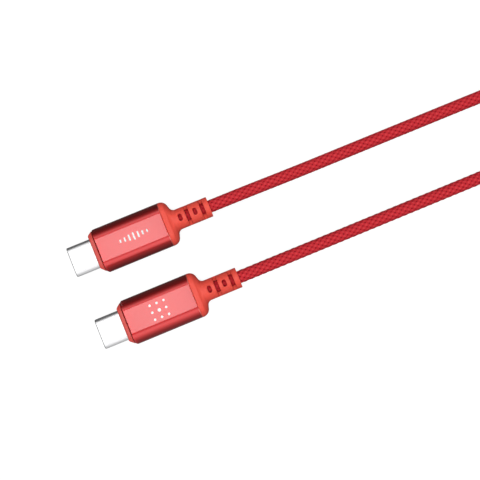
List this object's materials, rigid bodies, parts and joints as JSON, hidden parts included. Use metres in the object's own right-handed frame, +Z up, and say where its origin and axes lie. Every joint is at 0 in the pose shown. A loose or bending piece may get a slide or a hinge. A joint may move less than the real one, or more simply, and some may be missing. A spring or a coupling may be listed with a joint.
{
  "type": "charging cable",
  "caption": "Braided charging cable with a small reversible plug in a flat metal sleeve and a slotted soft strain relief at each end, its spare length coiled.",
  "frame": {"origin": "on the surface that the cable lies on, under the middle of the box round the two plugs, without the free cord and its coil", "axes": "+X along both plugs from their tips to the cord, +Y across from plug B to plug A, +Z up from the surface"},
  "size_m": [0.1727, 0.0442, 0.0151],
  "materials": {
    "plug_steel": "smooth bright nickel-plated steel",
    "black_insulator": "black moulded insulator",
    "gold_contact": "gold-plated spring alloy",
    "spring_steel": "thin bright stainless sheet",
    "red_plastic": "satin orange-red moulding",
    "red_aluminium": "fine-blasted red anodised aluminium with bright cut rims",
    "pale_plastic": "unpainted inner moulding",
    "board": "green laminate with solder mask",
    "small_parts": "surface-mounted parts",
    "wire_coat": "coloured core insulation",
    "copper": "tinned copper braid",
    "cord_jacket": "soft inner jacket",
    "red_braid": "deep red woven nylon braid with lighter yarn crossings",
    "red_soft": "satin soft orange-red elastomer"
  },
  "bodies": {
    "root": {"usb_shell_a": "plug_steel", "contact_housing_a": "black_insulator", "upper_contacts_a": "gold_contact", "lower_contacts_a": "gold_contact", "latch_plate_a": "spring_steel", "ground_springs_a": "spring_steel", "nose_collar_a": "red_plastic", "sleeve_a": "red_aluminium", "inner_mould_a": "pale_plastic", "shield_can_a": "spring_steel", "paddle_board_a": "board", "marker_chip_a": "black_insulator", "board_parts_a": "small_parts", "core_wires_a": "wire_coat", "crimp_ring_a": "gold_contact", "shield_braid_a": "copper", "inner_jacket_a": "cord_jacket", "braid_end_a": "red_braid", "strain_relief_a": "red_soft", "usb_shell_b": "plug_steel", "contact_housing_b": "black_insulator", "upper_contacts_b": "gold_contact", "lower_contacts_b": "gold_contact", "latch_plate_b": "spring_steel", "ground_springs_b": "spring_steel", "nose_collar_b": "red_plastic", "sleeve_b": "red_aluminium", "inner_mould_b": "pale_plastic", "shield_can_b": "spring_steel", "paddle_board_b": "board", "board_parts_b": "small_parts", "core_wires_b": "wire_coat", "crimp_ring_b": "gold_contact", "shield_braid_b": "copper", "inner_jacket_b": "cord_jacket", "braid_end_b": "red_braid", "strain_relief_b": "red_soft", "cord_a": "red_braid", "cord_coil": "red_braid", "cord_b": "red_braid"}
  },
  "joints": []
}
